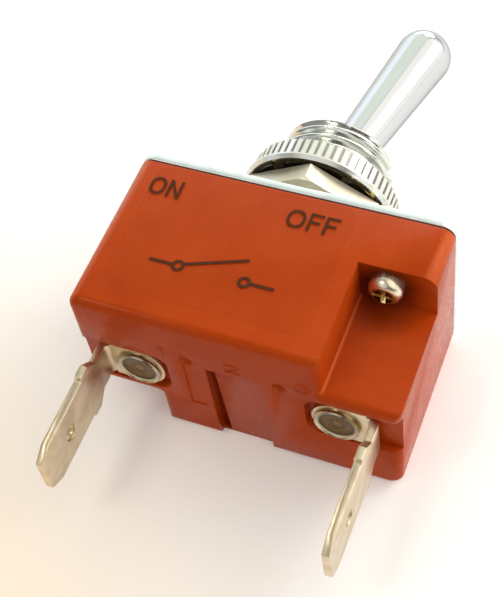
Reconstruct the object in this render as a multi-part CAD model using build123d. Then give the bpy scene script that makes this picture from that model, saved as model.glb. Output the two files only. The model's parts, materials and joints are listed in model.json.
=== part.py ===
from build123d import *
import math
import os

# Toggle switch with a bat lever, a threaded panel bushing and two push-on blades.
# Millimetres. +Z runs up the bushing, X along the case, the labelled side faces -Y.
# The origin is on the bushing axis at the top face of the cover plate.

# ---- moulded case ----
case_length = 33.0
case_width = 19.0
case_height = 18.0
case_corner_radius = 1.5
case_bottom_radius = 0.9
side_wall = 2.5
end_wall = 2.5
floor_thickness = 3.0
chamber_length = 14.0           # wide part of the cavity, under the bushing
channel_width = 5.2             # narrow part of the cavity, out to both ends
notch_length = 7.7              # corner notch for the cover screw
notch_width = 5.4
notch_depth = 12.0
notch_edge_radius = 0.35
pocket_depth = 0.9              # recess under the case for a terminal's foot
pocket_inner_reach = 3.2        # rivet's axis to the pocket's inner end
pocket_corner_radius = 1.4
slot_width = 0.9                # moulded slot and shallow field under the case
slot_depth = 1.6
slot_x = -2.35
slot_front_inset = 6.3          # case front to the slot's blind end
slot_back_wall = 0.3            # left between the slot and the case's back
field_right = 3.0
field_front_depth = 0.1         # the field deepens towards the back
field_back_depth = 0.8
pit_radius = 0.75               # of the ball-shaped dimple
pit_depth = 0.55
pit_pocket_gap = 2.3            # pocket's inner end to a pit's centre
pit_front_inset = 5.9
groove_left = -5.25             # faint groove that holds the left pit
groove_right = -3.5
groove_front = -4.9
groove_back = 4.1
groove_depth = 0.12

# ---- cover plate and the insulating sheet under it ----
plate_thickness = 0.8
sheet_thickness = 0.2
sheet_inset = 0.15

# ---- threaded bushing ----
thread_radius = 6.2
bushing_height = 12.05
bushing_chamfer = 0.25
bushing_bore = 4.7
bushing_step_height = 6.5       # where the bore narrows to hold the ball
mouth_radius = 3.2
flange_radius = 8.0
flange_thickness = 1.2
flange_play = 0.1
keyway_width = 2.2
keyway_depth = 0.7

# ---- nuts and washer on the bushing ----
hex_nut_flats = 14.0
hex_nut_height = 1.9
hex_nut_gap = 2.3               # the nut stands this far above the plate
hex_nut_chamfer = 0.45
washer_radius = 8.2
washer_rim = 0.4                # width of the ring that carries the teeth
washer_sheet = 0.22
washer_height = 0.35            # over the twisted teeth
washer_tooth_count = 12
washer_tooth_root = 1.5         # width of a tooth where it leaves the ring
washer_tooth_end = 0.8          # width at its end
washer_tooth_twist = 9.0
washer_play = 0.2               # teeth to the nuts' bore
ring_nut_radius = 8.2
ring_nut_rim_radius = 8.5
ring_nut_height = 2.95
ring_nut_rim_height = 0.55
ring_nut_chamfer = 0.35
knurl_count = 60
knurl_width = 0.34
knurl_depth = 0.3
thread_play = 0.07

# ---- lever ----
lever_angle = 12.0              # lean to each side of upright
lever_pivot_height = 9.2
ball_radius = 3.4
ball_play = 0.12
lever_neck_radius = 2.2
lever_tip_radius = 3.2
lever_reach = 23.3              # pivot to the very tip
lever_tail_radius = 2.0
lever_tail_reach = 14.2         # pivot to the end of the tail
stud_radius = 0.95
stud_play = 0.05
stud_play_end = 0.3

# ---- plunger and its spring inside the tail ----
plunger_radius = 1.3
plunger_play = 0.05
plunger_reach = 17.0            # pivot to the nose
plunger_length = 8.0
spring_top = 4.7                # pivot to the spring's seat in the lever
spring_wire = 0.36
spring_turns = 5.0
spring_play = 0.12

# ---- rocking contact and its fulcrum ----
rocker_tilt = 6.5
rocker_thickness = 0.8
rocker_width = 4.0
rocker_valley_half = 3.9        # the curved seat of the plunger's nose
rocker_valley_radius = 11.4
rocker_arm_reach = 9.9
fulcrum_drop = 1.2              # rocker's seat down to its axis
fulcrum_radius = 0.6
fulcrum_play = 0.05
nose_gap = 0.07
ear_thickness = 0.7
ear_play = 0.3
ear_width = 3.2
strip_thickness = 0.7
strip_width = 4.0
strip_end_gap = 0.4             # strip to the end wall
contact_end_inset = 1.4         # end of the arm to the contact's centre
contact_radius = 1.5
contact_thickness = 0.7
contact_gap = 0.03
rest_gap = 0.09                 # arm to the shelf it rests on when off

# ---- terminals and rivets ----
blade_thickness = 0.8
blade_width = 6.35
blade_end_inset = 2.8           # case end to the inner face of the blade
blade_tip_z = -32.8
blade_tip_width = 4.4
blade_tip_height = 1.7
blade_hole_diameter = 1.7
blade_hole_rise = 5.0           # tip up to the hole's centre
shoulder_width = 7.3
shoulder_height = 1.3
shoulder_rise = 9.1             # tip up to the shoulder's lower edge
neck_width = 4.6
neck_slope_height = 1.3
foot_width = 5.3
foot_play = 0.2                 # each side of the foot in its pocket
bend_radius = 0.45
rivet_end_inset = 6.2           # case end to the rivet's axis
rivet_head_radius = 2.35
rivet_head_height = 0.5
rivet_dish_depth = 0.35
rivet_shank_radius = 1.2
rivet_clinch_radius = 1.8
rivet_clinch_height = 0.45
rivet_play = 0.05

# ---- cover screws ----
screw_end_inset = 4.9           # case end and case side to the screw's axis
screw_side_inset = 2.6
screw_head_radius = 1.9
screw_head_height = 1.5
screw_shank_radius = 0.95
screw_play = 0.05
screw_hole_play = 0.15          # round the shank in the case
screw_cross_length = 2.2
screw_cross_width = 0.5
screw_cross_depth = 0.8

# ---- clear label film on the front ----
film_end_inset = 2.5            # left end of the case to the film
film_notch_gap = 1.8            # film to the notch
film_top_gap = 0.3
film_bottom_gap = 2.6
film_thickness = 0.1
film_corner_radius = 1.4

# ---- levels that follow from the sizes above ----
case_end = case_length / 2
case_side = case_width / 2
case_top = -plate_thickness - sheet_thickness
case_bottom = case_top - case_height
cavity_floor = case_bottom + floor_thickness
rivet_x = case_end - rivet_end_inset
blade_x = case_end - blade_end_inset
screw_x = case_end - screw_end_inset
screw_y = case_side - screw_side_inset
contact_x = rocker_arm_reach - contact_end_inset
notch_x = case_end - notch_length
pocket_inner_end = rivet_x - pocket_inner_reach
slot_front = slot_front_inset - case_side
pit_x = pocket_inner_end - pit_pocket_gap
pit_y = pit_front_inset - case_side
film_left = film_end_inset - case_end
film_right = notch_x - film_notch_gap
notch_ceiling = case_bottom + notch_depth
pocket_ceiling = case_bottom + pocket_depth
chamber_width = case_width - 2 * side_wall
cavity_length = case_length - 2 * end_wall
foot_bottom = pocket_ceiling - blade_thickness
nut_bore = thread_radius + thread_play
hex_nut_top = hex_nut_gap + hex_nut_height
washer_top = hex_nut_top + washer_height
ring_nut_top = washer_top + ring_nut_height
spring_bottom = plunger_reach - plunger_length
plunger_bore = plunger_radius + plunger_play
nose_centre = plunger_reach - plunger_radius
rocker_seat_z = lever_pivot_height - plunger_reach - nose_gap
fulcrum_z = rocker_seat_z - fulcrum_drop
strip_end = cavity_length / 2 - strip_end_gap
pivot = Vector(0, 0, lever_pivot_height)
lean = math.radians(lever_angle)


def block(x0, x1, y0, y1, z0, z1):
    """A box between two corners."""
    centre = Pos((x0 + x1) / 2, (y0 + y1) / 2, (z0 + z1) / 2)
    return centre * Box(x1 - x0, y1 - y0, z1 - z0)


def cylinder(radius, z0, z1, x=0.0, y=0.0):
    """An upright cylinder between two heights."""
    return Pos(x, y, (z0 + z1) / 2) * Cylinder(radius, z1 - z0)


def cross_bar(radius, half_length, z):
    """A cylinder along Y through the bushing axis."""
    return Pos(0, 0, z) * Rot(90, 0, 0) * Cylinder(radius, 2 * half_length)


def turned(outline):
    """A solid turned about Z from an outline of (radius, z) points."""
    face = Plane.XZ * make_face(Polyline(*outline, close=True))
    return revolve(face, Axis.Z)


def outline_slab(length, width, radius, z0, z1):
    """A flat slab with rounded corners."""
    sketch = RectangleRounded(length, width, radius)
    return Pos(0, 0, z0) * extrude(sketch, z1 - z0)


def both_ends(shape):
    """The shape and its copy half a turn round the bushing axis."""
    return [shape, Rot(0, 0, 180) * shape]


def lean_over(shape):
    """Turn a part of the lever from upright to its place at rest, towards +X."""
    return Pos(pivot) * Rot(0, lever_angle, 0) * Pos(-pivot) * shape


# ---- case, plate and sheet ----
def notch_block():
    margin = 1.0
    body = block(notch_x, case_end + margin, -case_side - margin, notch_width - case_side,
                 case_bottom - margin, notch_ceiling)
    inner_edge = body.edges().filter_by(Axis.Z).sort_by(Axis.X)[:2].sort_by(Axis.Y)[-1]
    return fillet(inner_edge, notch_edge_radius)


def foot_pocket():
    half = foot_width / 2 + foot_play
    margin = 1.0
    pocket = block(pocket_inner_end, case_end + margin, -half, half,
                   case_bottom - margin, pocket_ceiling)
    inner_corners = pocket.edges().filter_by(Axis.Z).sort_by(Axis.X)[:2]
    return fillet(inner_corners, pocket_corner_radius)


def sloped_field():
    """The field from the slot to the right, deeper at the back than in front."""
    margin = 1.0
    back = case_side + margin
    below = case_bottom - margin
    left = slot_x - slot_width / 2
    slope = (field_back_depth - field_front_depth) / (case_side - slot_front)
    back_ceiling = case_bottom + field_back_depth + slope * margin
    front_ceiling = case_bottom + field_front_depth
    outline = Polyline((slot_front, below), (back, below), (back, back_ceiling),
                       (slot_front, front_ceiling), close=True)
    return Pos(left, 0, 0) * extrude(Plane.YZ * make_face(outline), field_right - left)


def underside_marks():
    """The moulded slot, the field beside it, the two pits and the faint groove."""
    below = case_bottom - 1.0
    slot = block(slot_x - slot_width / 2, slot_x + slot_width / 2, slot_front,
                 case_side - slot_back_wall, below, case_bottom + slot_depth)
    pit_centre_z = case_bottom + pit_depth - pit_radius
    pits = [Pos(x, pit_y, pit_centre_z) * Sphere(pit_radius) for x in (-pit_x, pit_x)]
    groove = block(groove_left, groove_right, groove_front, groove_back,
                   below, case_bottom + groove_depth)
    return [slot, sloped_field(), groove] + pits


def make_case():
    case = outline_slab(case_length, case_width, case_corner_radius, case_bottom, case_top)
    case = case - both_ends(notch_block())
    bottom = case.faces().sort_by(Axis.Z)[0]
    case = fillet(bottom.edges(), case_bottom_radius)
    case = case - both_ends(foot_pocket())
    case = case - underside_marks()
    half_channel = channel_width / 2
    case = case - block(-cavity_length / 2, cavity_length / 2, -half_channel, half_channel,
                        cavity_floor, case_top)
    case = case - block(-chamber_length / 2, chamber_length / 2, -chamber_width / 2,
                        chamber_width / 2, cavity_floor, case_top)
    seat = flange_radius + flange_play
    case = case - cylinder(seat, -plate_thickness - flange_thickness, case_top)
    rivet_hole = rivet_shank_radius + rivet_play
    case = case - both_ends(cylinder(rivet_hole, case_bottom, cavity_floor, x=rivet_x))
    screw_hole = screw_shank_radius + screw_hole_play
    case = case - both_ends(cylinder(screw_hole, notch_ceiling, case_top, x=screw_x, y=-screw_y))
    return case


def make_cover_plate():
    plate = outline_slab(case_length, case_width, case_corner_radius, -plate_thickness, 0)
    plate = plate - cylinder(thread_radius + thread_play, -plate_thickness, 0)
    hole = screw_shank_radius + screw_play
    plate = plate - both_ends(cylinder(hole, -plate_thickness, 0, x=screw_x, y=-screw_y))
    return plate


def make_insulating_sheet():
    sheet = outline_slab(case_length - 2 * sheet_inset, case_width - 2 * sheet_inset,
                         case_corner_radius, case_top, -plate_thickness)
    sheet = sheet - cylinder(flange_radius + flange_play, case_top, -plate_thickness)
    hole = screw_shank_radius + screw_hole_play
    holes = both_ends(cylinder(hole, case_top, -plate_thickness, x=screw_x, y=-screw_y))
    return sheet - holes


def make_label_film():
    length = film_right - film_left
    top = case_top - film_top_gap
    bottom = case_bottom + film_bottom_gap
    sketch = RectangleRounded(length, top - bottom, film_corner_radius)
    film = extrude(Plane.XZ * sketch, film_thickness)
    return Pos((film_left + film_right) / 2, -case_side, (top + bottom) / 2) * film


# ---- bushing and what is screwed on it ----
def make_bushing():
    flange_bottom = -plate_thickness - flange_thickness
    outline = [
        (0, flange_bottom),
        (flange_radius, flange_bottom),
        (flange_radius, -plate_thickness),
        (thread_radius, -plate_thickness),
        (thread_radius, bushing_height - bushing_chamfer),
        (thread_radius - bushing_chamfer, bushing_height),
        (0, bushing_height),
    ]
    bushing = turned(outline)
    bushing = bushing - cylinder(bushing_bore, flange_bottom, bushing_step_height)
    bushing = bushing - cylinder(ball_radius + ball_play, flange_bottom, lever_pivot_height)
    bushing = bushing - Pos(pivot) * Sphere(ball_radius + ball_play)
    bushing = bushing - cylinder(mouth_radius, lever_pivot_height, bushing_height)
    bushing = bushing - stud_slot()
    keyway_inner = thread_radius - keyway_depth
    return bushing - block(keyway_inner, flange_radius, -keyway_width / 2, keyway_width / 2,
                           0, bushing_height)


def stud_slot():
    """Slots up both sides of the bore that the lever's studs slide into from below."""
    radius = stud_radius + stud_play
    top = cross_bar(radius, bushing_bore, lever_pivot_height)
    run = block(-radius, radius, -bushing_bore, bushing_bore, 0, lever_pivot_height)
    return (top + run) & cylinder(bushing_bore, 0, bushing_height)


def make_hex_nut():
    """A hex nut with its corners turned off on the plate's side only."""
    corner_radius = hex_nut_flats / math.sqrt(3)
    blank = Pos(0, 0, hex_nut_gap) * extrude(
        RegularPolygon(corner_radius, 6, major_radius=True, rotation=-90), hex_nut_height)
    edge = corner_radius - hex_nut_chamfer
    rise = hex_nut_chamfer * 0.6
    turned_blank = turned([
        (0, hex_nut_gap), (edge, hex_nut_gap), (corner_radius, hex_nut_gap + rise),
        (corner_radius, hex_nut_top), (0, hex_nut_top)])
    nut = blank & turned_blank
    return nut - cylinder(nut_bore, hex_nut_gap, hex_nut_top)


def washer_tooth():
    """One inward tooth, narrower at its end and twisted about its own length."""
    middle = (hex_nut_top + washer_top) / 2
    root_x = washer_radius - washer_rim / 2
    end_x = nut_bore + washer_play
    outline = [(end_x, -washer_tooth_end / 2), (root_x, -washer_tooth_root / 2),
               (root_x, washer_tooth_root / 2), (end_x, washer_tooth_end / 2)]
    tooth = extrude(make_face(Polyline(*outline, close=True)), washer_sheet / 2, both=True)
    tooth = Pos(0, 0, middle) * Rot(washer_tooth_twist, 0, 0) * tooth
    return tooth & cylinder(washer_radius - washer_rim / 2, hex_nut_top, washer_top)


def make_lock_washer():
    ring_top = (hex_nut_top + washer_top + washer_sheet) / 2
    ring = cylinder(washer_radius, ring_top - washer_sheet, ring_top)
    ring = ring - cylinder(washer_radius - washer_rim, ring_top - washer_sheet, ring_top)
    return ring + [place * washer_tooth() for place in PolarLocations(0, washer_tooth_count)]


def make_ring_nut():
    rim_top = washer_top + ring_nut_rim_height
    blank = turned([
        (nut_bore, washer_top),
        (ring_nut_rim_radius - ring_nut_chamfer, washer_top),
        (ring_nut_rim_radius, washer_top + ring_nut_chamfer),
        (ring_nut_rim_radius, rim_top),
        (ring_nut_radius, rim_top + ring_nut_chamfer / 2),
        (ring_nut_radius, ring_nut_top - ring_nut_chamfer),
        (ring_nut_radius - ring_nut_chamfer, ring_nut_top),
        (nut_bore, ring_nut_top),
    ])
    groove = block(ring_nut_radius - knurl_depth, ring_nut_rim_radius + 1, -knurl_width / 2,
                   knurl_width / 2, rim_top + ring_nut_chamfer / 2, ring_nut_top)
    return blank - [place * groove for place in PolarLocations(0, knurl_count)]


# ---- lever, plunger and spring ----
def make_lever():
    tip_centre = lever_reach - lever_tip_radius
    bar = turned([
        (0, 0), (lever_neck_radius, 0), (lever_tip_radius, tip_centre), (0, tip_centre)])
    bar = Pos(pivot) * (bar + Pos(0, 0, tip_centre) * Sphere(lever_tip_radius))
    tail_end = lever_pivot_height - lever_tail_reach
    tail = cylinder(lever_tail_radius, tail_end, lever_pivot_height)
    stud_reach = bushing_bore - stud_play_end
    lever = bar + tail + Pos(pivot) * Sphere(ball_radius)
    lever = lever + cross_bar(stud_radius, stud_reach, lever_pivot_height)
    lever = lever - cylinder(plunger_bore, tail_end, lever_pivot_height - spring_top)
    return lean_over(lever)


def make_plunger():
    top = lever_pivot_height - spring_bottom
    centre = lever_pivot_height - nose_centre
    plunger = cylinder(plunger_radius, centre, top)
    return lean_over(plunger + Pos(0, 0, centre) * Sphere(plunger_radius))


def make_plunger_spring():
    """Closed coils between the blind end of the lever's bore and the plunger."""
    radius = plunger_radius - spring_wire / 2 - spring_play
    height = spring_bottom - spring_top - spring_wire
    start = lever_pivot_height - spring_bottom + spring_wire / 2
    path = Helix(height / spring_turns, height, radius)
    section = Plane(path @ 0, z_dir=path % 0) * Circle(spring_wire / 2)
    return lean_over(Pos(0, 0, start) * sweep(section, path))


# ---- rocking contact ----
def rocker_profile():
    """Side view of the strip: a curved seat with two arms that rise outwards."""
    slope = math.tan(math.radians(rocker_tilt))
    end = rocker_valley_half
    rise = rocker_valley_radius - math.sqrt(rocker_valley_radius ** 2 - end ** 2)
    arm_rise = rise + slope * (rocker_arm_reach - end)
    top = [(-rocker_arm_reach, arm_rise), (-end, rise), (0, 0), (end, rise),
           (rocker_arm_reach, arm_rise)]
    low = [(x, z - rocker_thickness) for x, z in top]
    edges = [
        Line(top[0], top[1]), ThreePointArc(top[1], top[2], top[3]), Line(top[3], top[4]),
        Line(top[4], low[4]), Line(low[4], low[3]), ThreePointArc(low[3], low[2], low[1]),
        Line(low[1], low[0]), Line(low[0], top[0]),
    ]
    return make_face(Wire(edges))


def rock_over(shape, tilt):
    """Turn a part of the rocker about the fulcrum."""
    centre = Pos(0, 0, fulcrum_z)
    return centre * Rot(0, tilt, 0) * centre.inverse() * shape


def make_rocker():
    strip = extrude(Plane.XZ * rocker_profile(), rocker_width / 2, both=True)
    strip = Pos(0, 0, rocker_seat_z) * strip
    reach = rocker_width / 2 + ear_play + ear_thickness
    web_top = rocker_seat_z - rocker_thickness / 2
    web = block(-fulcrum_radius, fulcrum_radius, -rocker_width / 2, rocker_width / 2,
                fulcrum_z, web_top)
    rocker = strip + cross_bar(fulcrum_radius, reach, fulcrum_z) + web
    return rock_over(rocker, -rocker_tilt)


def arm_underside():
    """Height of an arm's underside when that arm is pressed down level."""
    slope = math.radians(rocker_tilt)
    end = rocker_valley_half
    rise = rocker_valley_radius - math.sqrt(rocker_valley_radius ** 2 - end ** 2)
    drop = fulcrum_drop + rise - rocker_thickness - end * math.tan(slope)
    return fulcrum_z + drop * math.cos(slope)


def make_rocker_contact():
    top = arm_underside()
    button = cylinder(contact_radius, top - contact_thickness, top, x=contact_x)
    return rock_over(button, -2 * rocker_tilt)


# ---- fixed strips inside the case ----
def end_strip(inner_x, shelf_top):
    """A bent strip: flat on the floor, up at the end wall and back over as a shelf."""
    half = strip_width / 2
    base_top = cavity_floor + strip_thickness
    riser_x = strip_end - strip_thickness
    shelf_inner = contact_x - contact_radius
    base = block(inner_x, strip_end, -half, half, cavity_floor, base_top)
    riser = block(riser_x, strip_end, -half, half, cavity_floor, shelf_top)
    shelf = block(shelf_inner, strip_end, -half, half, shelf_top - strip_thickness, shelf_top)
    hole = cylinder(rivet_shank_radius + rivet_play, cavity_floor, base_top, x=rivet_x)
    return base + riser + shelf - hole


def make_contact_strip():
    shelf_top = arm_underside() - 2 * contact_thickness - contact_gap
    return end_strip(rivet_x - rivet_clinch_radius - strip_thickness, shelf_top)


def make_fixed_contact():
    top = arm_underside() - contact_thickness - contact_gap
    return cylinder(contact_radius, top - contact_thickness, top, x=contact_x)


def make_fulcrum_bracket():
    """The strip of terminal 1: a rest shelf at its end and two ears at the middle."""
    strip = Rot(0, 0, 180) * end_strip(0, arm_underside() - rest_gap)
    half = rocker_width / 2 + ear_play
    base_top = cavity_floor + strip_thickness
    cradle = block(-ear_width / 2, ear_width / 2, -half, half, cavity_floor, base_top)
    ear_top = fulcrum_z + fulcrum_radius
    for y0, y1 in ((half, half + ear_thickness), (-half - ear_thickness, -half)):
        cradle = cradle + block(-ear_width / 2, ear_width / 2, y0, y1, cavity_floor, ear_top)
    radius = fulcrum_radius + fulcrum_play
    reach = half + ear_thickness
    seat = cross_bar(radius, reach, fulcrum_z)
    seat = seat + block(-radius, radius, -reach, reach, fulcrum_z, ear_top)
    return strip + (cradle - seat)


# ---- terminals and rivets ----
def blade_outline():
    """The flat blade, as (half width, height) points down one edge to the tip."""
    shoulder_low = blade_tip_z + shoulder_rise
    shoulder_high = shoulder_low + shoulder_height
    neck_low = shoulder_high + neck_slope_height
    bend_low = foot_bottom - bend_radius
    step = (shoulder_width - blade_width) / 2
    right = [
        (neck_width / 2, bend_low),
        (neck_width / 2, neck_low),
        (shoulder_width / 2, shoulder_high),
        (shoulder_width / 2, shoulder_low),
        (blade_width / 2, shoulder_low - step / 2),
        (blade_width / 2, blade_tip_z + blade_tip_height),
        (blade_tip_width / 2, blade_tip_z),
    ]
    return right + [(-y, z) for y, z in reversed(right)]


def make_terminal():
    """Foot, bend and blade of one piece, for the +X end."""
    blade = extrude(Plane.YZ * make_face(Polyline(*blade_outline(), close=True)), blade_thickness)
    blade = Pos(blade_x, 0, 0) * blade
    hole = Rot(0, 90, 0) * Cylinder(blade_hole_diameter / 2, 4 * blade_thickness)
    blade = blade - Pos(blade_x, 0, blade_tip_z + blade_hole_rise) * hole
    centre = Pos(blade_x - bend_radius, 0, foot_bottom - bend_radius)
    outer = bend_radius + blade_thickness
    bend = centre * (Rot(90, 0, 0) * (Cylinder(outer, neck_width) - Cylinder(bend_radius, neck_width)))
    bend = bend & block(blade_x - bend_radius, blade_x + outer, -neck_width, neck_width,
                        foot_bottom - bend_radius, pocket_ceiling)
    half = foot_width / 2
    foot = block(rivet_x, blade_x - bend_radius, -half, half, foot_bottom, pocket_ceiling)
    foot = foot + cylinder(half, foot_bottom, pocket_ceiling, x=rivet_x)
    hole = cylinder(rivet_shank_radius + rivet_play, foot_bottom, pocket_ceiling, x=rivet_x)
    return foot + bend + blade - hole


def make_rivet():
    """A shank with a dished head outside and a clinched head inside."""
    head_bottom = foot_bottom - rivet_head_height
    clinch_bottom = cavity_floor + strip_thickness
    rim = rivet_head_height * 0.6
    outline = [
        (0, head_bottom + rivet_dish_depth),
        (rivet_shank_radius, head_bottom + rivet_dish_depth),
        (rivet_head_radius - rim, head_bottom + rivet_dish_depth * 0.4),
        (rivet_head_radius - rim / 2, head_bottom),
        (rivet_head_radius, head_bottom + rim / 2),
        (rivet_head_radius, foot_bottom),
        (rivet_shank_radius, foot_bottom),
        (rivet_shank_radius, clinch_bottom),
        (rivet_clinch_radius, clinch_bottom),
        (rivet_clinch_radius - rim / 2, clinch_bottom + rivet_clinch_height),
        (0, clinch_bottom + rivet_clinch_height),
    ]
    return Pos(rivet_x, 0, 0) * turned(outline)


# ---- cover screws ----
def make_screw():
    """Pan-head screw, head down under the notch, tapped into the plate."""
    crown = screw_head_height * 0.35
    head_bottom = notch_ceiling - screw_head_height
    screw = turned([
        (0, head_bottom), (screw_head_radius - crown, head_bottom),
        (screw_head_radius, head_bottom + crown), (screw_head_radius, notch_ceiling),
        (screw_shank_radius, notch_ceiling), (screw_shank_radius, 0), (0, 0)])
    half_width = screw_cross_width / 2
    half_length = screw_cross_length / 2
    for half_x, half_y in ((half_width, half_length), (half_length, half_width)):
        screw = screw - block(-half_x, half_x, -half_y, half_y,
                              head_bottom, head_bottom + screw_cross_depth)
    return Pos(screw_x, -screw_y, 0) * screw


def make_parts():
    terminal = make_terminal()
    rivet = make_rivet()
    screw = make_screw()
    turn = Rot(0, 0, 180)
    return {
        "case": make_case(),
        "insulating_sheet": make_insulating_sheet(),
        "cover_plate": make_cover_plate(),
        "label_film": make_label_film(),
        "bushing": make_bushing(),
        "hex_nut": make_hex_nut(),
        "lock_washer": make_lock_washer(),
        "ring_nut": make_ring_nut(),
        "lever": make_lever(),
        "plunger": make_plunger(),
        "plunger_spring": make_plunger_spring(),
        "rocker": make_rocker(),
        "rocker_contact": make_rocker_contact(),
        "fulcrum_bracket": make_fulcrum_bracket(),
        "contact_strip": make_contact_strip(),
        "fixed_contact": make_fixed_contact(),
        "terminal_1": turn * terminal,
        "terminal_3": terminal,
        "rivet_1": turn * rivet,
        "rivet_3": rivet,
        "screw_front": screw,
        "screw_rear": turn * screw,
    }


os.makedirs("parts", exist_ok=True)
for name, shape in make_parts().items():
    export_step(shape, f"parts/{name}.step")
    box = shape.bounding_box()
    print(f"{name:18} volume {shape.volume:9.2f} mm3, z {box.min.Z:7.2f} to {box.max.Z:7.2f}")
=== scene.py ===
# %% [markdown]
# # A bat-lever toggle switch, dressed for its portrait
# The switch comes in as a fixed frame: every solid, in metres, at its real place. This lesson
# gives each of them a finish, and builds anew only what the solids leave plain, such as the
# screw thread and the printing. Places are asked from the frame, so nothing has to be fitted.

# %% Load the fixed frame
import bpy
import bmesh
import json
import math
from mathutils import Matrix, Vector


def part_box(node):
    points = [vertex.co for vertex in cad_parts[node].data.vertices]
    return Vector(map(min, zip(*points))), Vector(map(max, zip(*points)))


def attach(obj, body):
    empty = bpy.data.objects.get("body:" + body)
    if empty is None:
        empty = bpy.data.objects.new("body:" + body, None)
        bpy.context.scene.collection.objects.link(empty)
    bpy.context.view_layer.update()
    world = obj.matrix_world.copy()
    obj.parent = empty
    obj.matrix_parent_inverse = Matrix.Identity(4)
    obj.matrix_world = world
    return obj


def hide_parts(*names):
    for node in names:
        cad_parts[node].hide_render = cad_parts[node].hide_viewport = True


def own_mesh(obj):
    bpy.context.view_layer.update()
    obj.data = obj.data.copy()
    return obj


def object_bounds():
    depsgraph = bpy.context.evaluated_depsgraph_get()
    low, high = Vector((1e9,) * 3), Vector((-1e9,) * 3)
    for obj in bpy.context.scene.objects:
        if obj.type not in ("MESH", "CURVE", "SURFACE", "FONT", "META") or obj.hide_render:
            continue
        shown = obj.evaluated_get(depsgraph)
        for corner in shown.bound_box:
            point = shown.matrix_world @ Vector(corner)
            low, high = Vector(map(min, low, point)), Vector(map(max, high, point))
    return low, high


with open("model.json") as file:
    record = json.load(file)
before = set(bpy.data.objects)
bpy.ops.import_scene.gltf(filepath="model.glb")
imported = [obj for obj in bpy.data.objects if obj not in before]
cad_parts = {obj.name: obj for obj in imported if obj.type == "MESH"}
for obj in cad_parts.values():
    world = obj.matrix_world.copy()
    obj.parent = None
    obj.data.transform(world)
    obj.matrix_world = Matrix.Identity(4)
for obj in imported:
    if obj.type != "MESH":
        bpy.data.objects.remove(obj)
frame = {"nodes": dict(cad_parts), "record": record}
nodes = frame["nodes"]
cad_low, cad_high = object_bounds()
scene = bpy.context.scene
scene.view_settings.view_transform = "Standard"
mm = 0.001
print("nodes", len(nodes), "box in mm", [round(v / mm, 2) for v in cad_high - cad_low])

# %% [markdown]
# ## The camera
# The switch lies on its back and is seen from low on the terminals' side. A lens twice as long
# as a normal one could stand for it, but a hand-held close-up has a short working distance and
# so a visible taper. The camera therefore stands only some 13 cm away, and its small shift
# slides the picture, as a view camera does, without turning the lens.

# %% Stand the camera
camera_data = bpy.data.cameras.new("close_up")
camera_data.lens = 79.2
camera_data.sensor_width = 36.0
camera_data.shift_x = 0.00667
camera_data.shift_y = -0.069
camera_data.clip_start = 0.01
camera = bpy.data.objects.new("close_up", camera_data)
scene.collection.objects.link(camera)
turn = Vector((0.9439978, 0.3966989, 0.0722880))
to_lens = Matrix.Rotation(turn.length, 3, turn.normalized())
camera.matrix_world = Matrix.Translation((0.035809, -0.109108, -0.074346)) @ Matrix(
    (to_lens[0], -to_lens[1], -to_lens[2])).transposed().to_4x4()
scene.camera = camera
print("camera", [round(v, 4) for v in camera.location], "looks along",
      [round(v, 3) for v in to_lens[2]])

# %% [markdown]
# ## Helpers for node materials
# A real finish is never one flat colour. Each material here mixes two near colours with a soft
# noise, lets the roughness wander, and raises a fine grain. Such a finish could be painted on an
# image, but nodes stay sharp at any distance. Object coordinates in metres drive the noise, so
# one number, the size of a blotch, reads the same on every piece.

# %% Colours and empty materials
def linear(red, green, blue):
    """A colour as it is seen, 0 to 255, turned into light."""
    def channel(value):
        value /= 255
        return value / 12.92 if value <= 0.04045 else ((value + 0.055) / 1.055) ** 2.4
    return (channel(red), channel(green), channel(blue), 1.0)


def new_material(name):
    """An empty material, its node tree and its main shader."""
    material = bpy.data.materials.new(name)
    material.use_nodes = True
    tree = material.node_tree
    return material, tree, tree.nodes["Principled BSDF"]


# %% Noise and ramps
def place_node(tree, stretch=(1, 1, 1)):
    """Object coordinates, optionally stretched along one axis to make a brushed grain."""
    where = tree.nodes.new("ShaderNodeTexCoord")
    mapping = tree.nodes.new("ShaderNodeMapping")
    mapping.inputs["Scale"].default_value = stretch
    tree.links.new(where.outputs["Object"], mapping.inputs["Vector"])
    return mapping.outputs["Vector"]


def noise_node(tree, size, detail=3.0, stretch=(1, 1, 1)):
    """Soft noise whose blotches are about this many millimetres across."""
    noise = tree.nodes.new("ShaderNodeTexNoise")
    noise.inputs["Scale"].default_value = 1 / (size * mm)
    noise.inputs["Detail"].default_value = detail
    tree.links.new(place_node(tree, stretch), noise.inputs["Vector"])
    return noise.outputs["Fac"]


def ramp_node(tree, source, stops):
    """Colours at these positions, 0 to 1, of a noise or a mask."""
    ramp = tree.nodes.new("ShaderNodeValToRGB")
    marks = ramp.color_ramp.elements
    while len(marks) < len(stops):
        marks.new(0.5)
    for mark, (position, colour) in zip(marks, stops):
        mark.position = position
        mark.color = colour
    tree.links.new(source, ramp.inputs["Fac"])
    return ramp.outputs["Color"]


def range_node(tree, source, low, high):
    """A noise spread over a range; its values seldom leave 0.3 to 0.7."""
    spread = tree.nodes.new("ShaderNodeMapRange")
    spread.inputs["From Min"].default_value = 0.3
    spread.inputs["From Max"].default_value = 0.7
    spread.inputs["To Min"].default_value = low
    spread.inputs["To Max"].default_value = high
    tree.links.new(source, spread.inputs["Value"])
    return spread.outputs["Result"]


# %% Sums, masks and mixes
def feed(tree, sockets, values):
    """Links each value that comes from another node, and sets each that is a plain one."""
    for socket, value in zip(sockets, values):
        if isinstance(value, bpy.types.NodeSocket):
            tree.links.new(value, socket)
        else:
            socket.default_value = value


def sum_node(tree, operation, *values):
    """One sum of numbers, such as a product or a test."""
    node = tree.nodes.new("ShaderNodeMath")
    node.operation = operation
    feed(tree, node.inputs, values)
    return node.outputs["Value"]


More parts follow.
